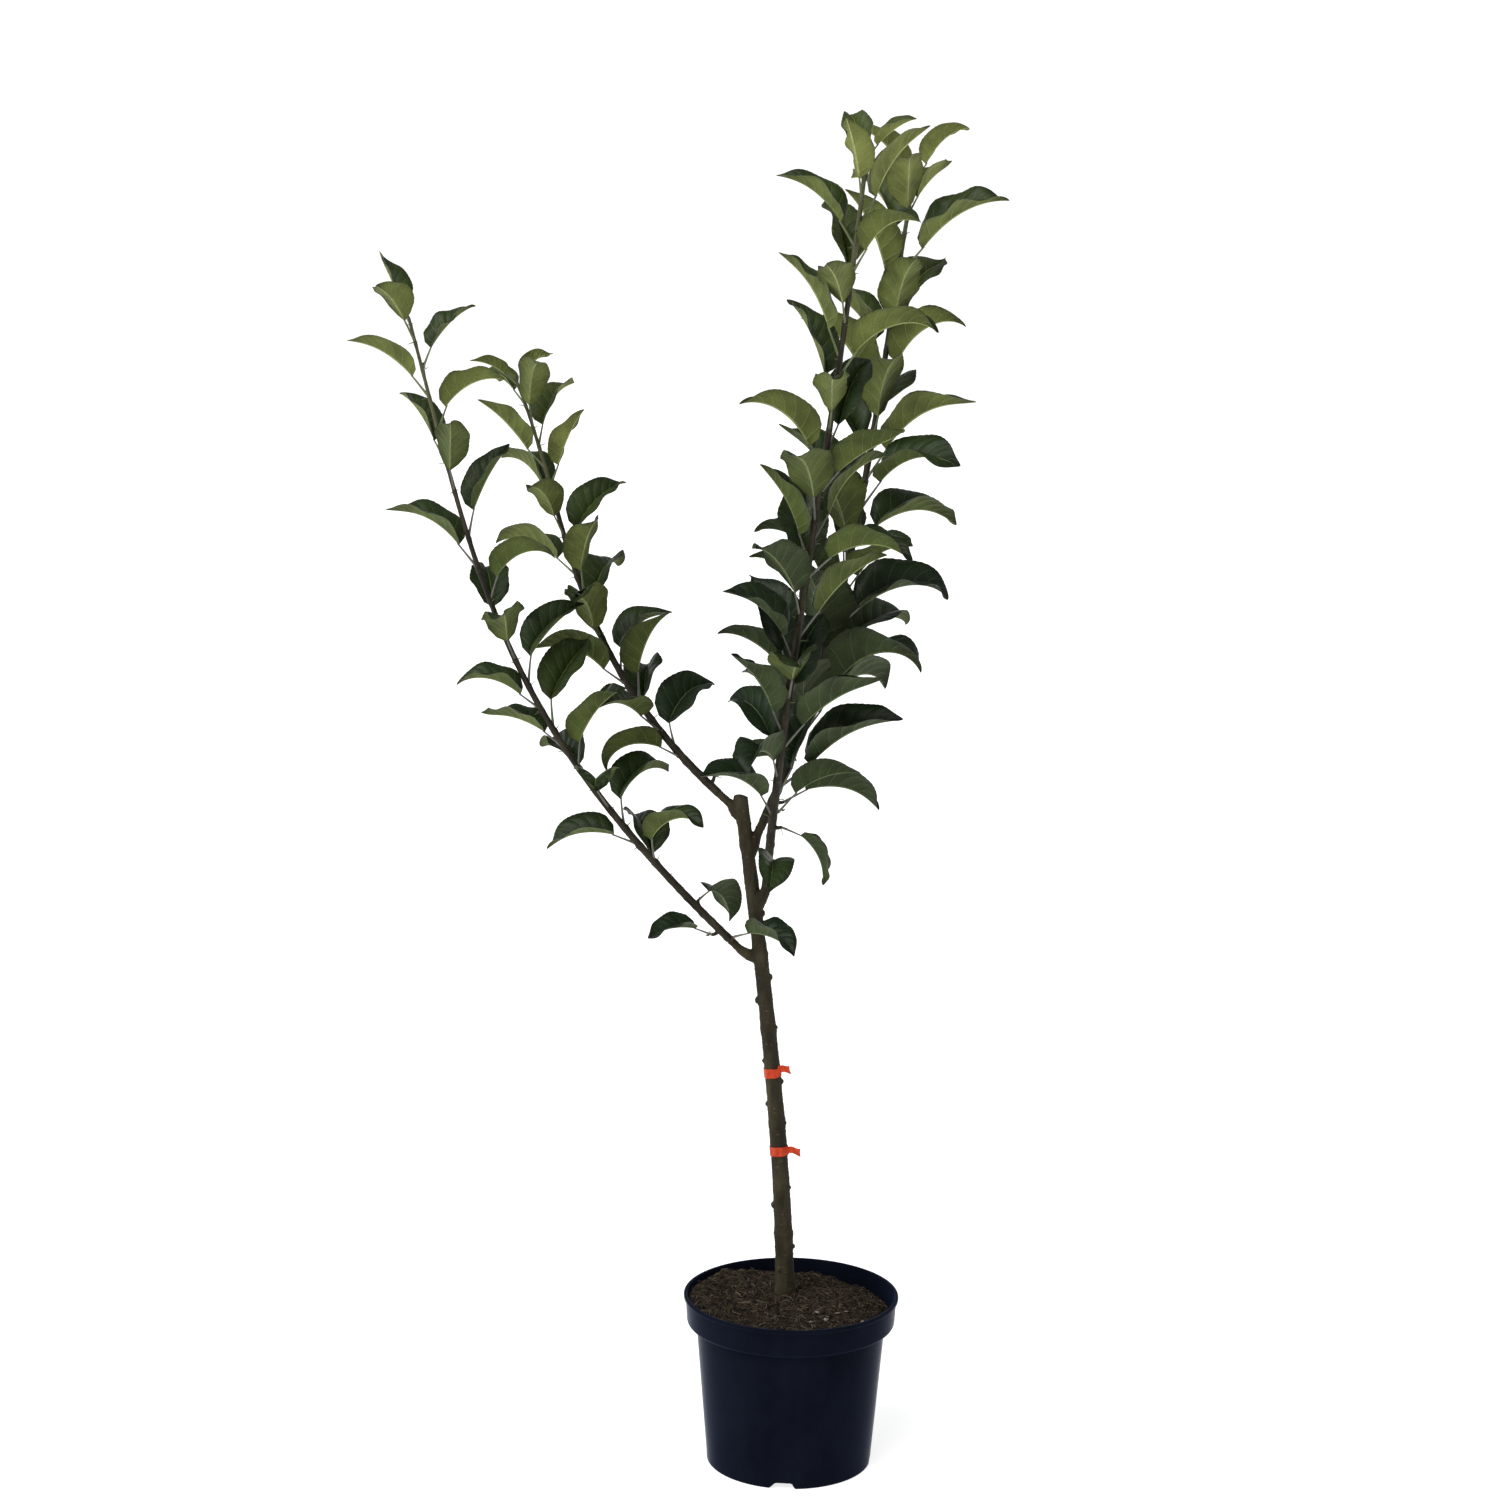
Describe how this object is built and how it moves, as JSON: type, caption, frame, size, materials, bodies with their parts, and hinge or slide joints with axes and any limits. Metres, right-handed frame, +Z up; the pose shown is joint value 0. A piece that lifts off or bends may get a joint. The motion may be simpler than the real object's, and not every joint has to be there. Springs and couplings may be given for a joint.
{
  "type": "potted apple tree",
  "caption": "Young apple tree grafted with several varieties: a bare trunk with four leafy limbs, in a round black nursery pot.",
  "frame": {"origin": "middle of the pot's underside, on the ground", "axes": "+Z up along the trunk, -Y towards the side seen from the front, +X to that view's right"},
  "size_m": [0.8133, 0.6306, 1.7361],
  "materials": {
    "pot_plastic": "smooth black, slightly blue in the light",
    "soil": "dark peat with fibres",
    "trunk_bark": "olive brown bark with lenticels",
    "bough_bark": "dark red-brown young bark",
    "leaves": "satin leaves, paler underneath",
    "marker_film": "orange-red plastic film"
  },
  "bodies": {
    "root": {"pot": "pot_plastic", "soil": "soil", "trunk": "trunk_bark", "bough_left_low": "bough_bark", "bough_left_high": "bough_bark", "bough_right_front": "bough_bark", "bough_right_rear": "bough_bark", "marker_band_upper": "marker_film", "marker_band_lower": "marker_film", "foliage_left_low_lower": "leaves", "foliage_left_low_middle": "leaves", "foliage_left_low_upper": "leaves", "foliage_left_high_lower": "leaves", "foliage_left_high_middle": "leaves", "foliage_left_high_upper": "leaves", "foliage_right_front_lower": "leaves", "foliage_right_front_middle": "leaves", "foliage_right_front_upper": "leaves", "foliage_right_front_top": "leaves", "foliage_right_rear_lower": "leaves", "foliage_right_rear_middle": "leaves", "foliage_right_rear_upper": "leaves", "foliage_right_rear_top": "leaves", "spur_left_low_a": "leaves", "spur_left_low_b": "leaves", "spur_left_low_c": "leaves", "spur_left_high": "leaves", "spur_right_front": "leaves", "spur_right_front_upper": "leaves", "spur_right_rear": "leaves", "spur_right_rear_upper": "leaves"}
  },
  "joints": []
}
